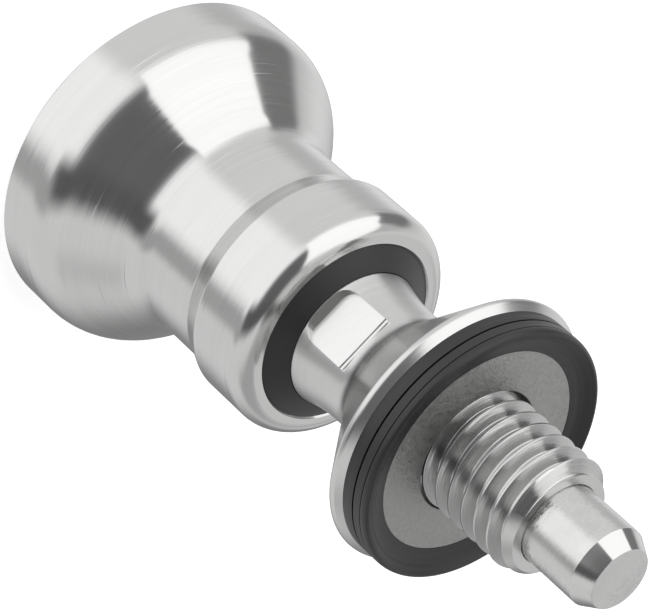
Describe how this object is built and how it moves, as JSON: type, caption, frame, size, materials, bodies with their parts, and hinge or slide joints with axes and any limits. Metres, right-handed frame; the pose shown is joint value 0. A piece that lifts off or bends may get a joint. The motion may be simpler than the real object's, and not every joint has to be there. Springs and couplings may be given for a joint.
{
  "type": "indexing plunger",
  "caption": "Stainless indexing plunger with a turned pull knob, sealed flange and threaded front; pulling the knob draws the sprung pin back.",
  "frame": {"origin": "centre of the knob's flat rear face, on the axis", "axes": "+Z along the axis from the knob to the pin's tip; -Y out of one spanner flat, +Y out of the other; +X completes a right-handed set"},
  "size_m": [0.034, 0.034, 0.0684],
  "materials": {
    "turned_steel": "stainless steel, fine-turned and polished, with faint tool rings",
    "ground_steel": "stainless steel, ground",
    "blasted_steel": "stainless steel, matt and slightly mottled",
    "spring_steel": "drawn stainless spring wire",
    "bush_bronze": "plain bearing bronze, dull",
    "black_rubber": "moulded black rubber, satin"
  },
  "bodies": {
    "body": {"guide_body": "turned_steel", "support_washer": "blasted_steel", "sealing_ring": "black_rubber", "pin_o_ring": "black_rubber", "rear_bush": "bush_bronze", "snap_ring": "spring_steel", "spring": "spring_steel"},
    "spring_seat": {"thrust_washer": "blasted_steel"},
    "plunger": {"index_pin": "ground_steel", "grip_knob": "turned_steel", "wiper_ring": "black_rubber", "lock_nut": "turned_steel"}
  },
  "joints": [
    {"name": "pull", "type": "slide", "parent": "body", "child": "spring_seat", "axis": [0, 0, -1], "range_m": [0, 0.008], "stiffness_N_per_m": 2140, "springref_m": -0.007, "deforming": ["spring"]},
    {"name": "knob_turn", "type": "hinge", "parent": "spring_seat", "child": "plunger", "pos_m": [0, 0, 0.0384], "axis": [0, 0, 1], "continuous": true}
  ]
}
